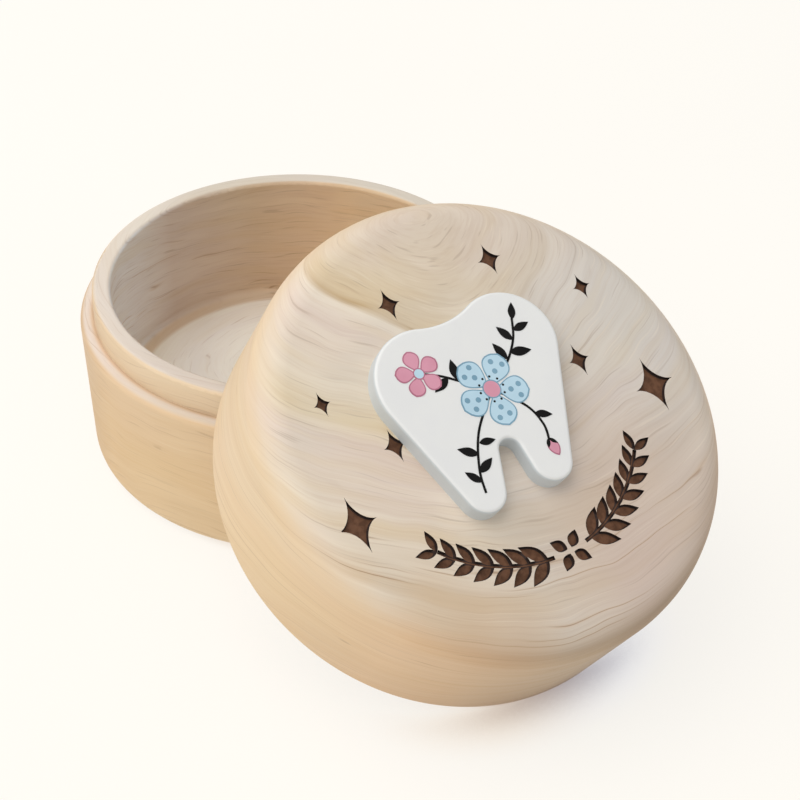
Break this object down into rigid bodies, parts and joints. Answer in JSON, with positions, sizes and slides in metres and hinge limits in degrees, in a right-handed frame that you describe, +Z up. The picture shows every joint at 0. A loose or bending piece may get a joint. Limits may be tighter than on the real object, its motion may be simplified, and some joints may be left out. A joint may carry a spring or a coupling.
{
  "type": "keepsake box",
  "caption": "Round turned wooden keepsake box for baby teeth: a deep cup with a stepped rim, and a thick lid with a tooth-shaped plaque, lifted off and leaning on the cup.",
  "frame": {"origin": "middle of the cup's foot, on the surface that it stands on", "axes": "+Z up along the cup's axis; the lid leans on the cup's rim on the -Y side; +X to the right, seen from the lid's side"},
  "size_m": [0.05, 0.0839, 0.039],
  "materials": {
    "bare_wood": "bare sanded pale beech, with burnt-brown engraving on the lid's face",
    "white_paint": "satin white paint on wood, with a small printed design"
  },
  "bodies": {
    "base": {"base": "bare_wood"},
    "lid": {"lid": "bare_wood", "tooth_plaque": "white_paint"}
  },
  "joints": [
    {"name": "lid_lift", "type": "slide", "parent": "base", "child": "lid", "axis": [0, 0, 1], "range_m": [0, 0.05]}
  ]
}
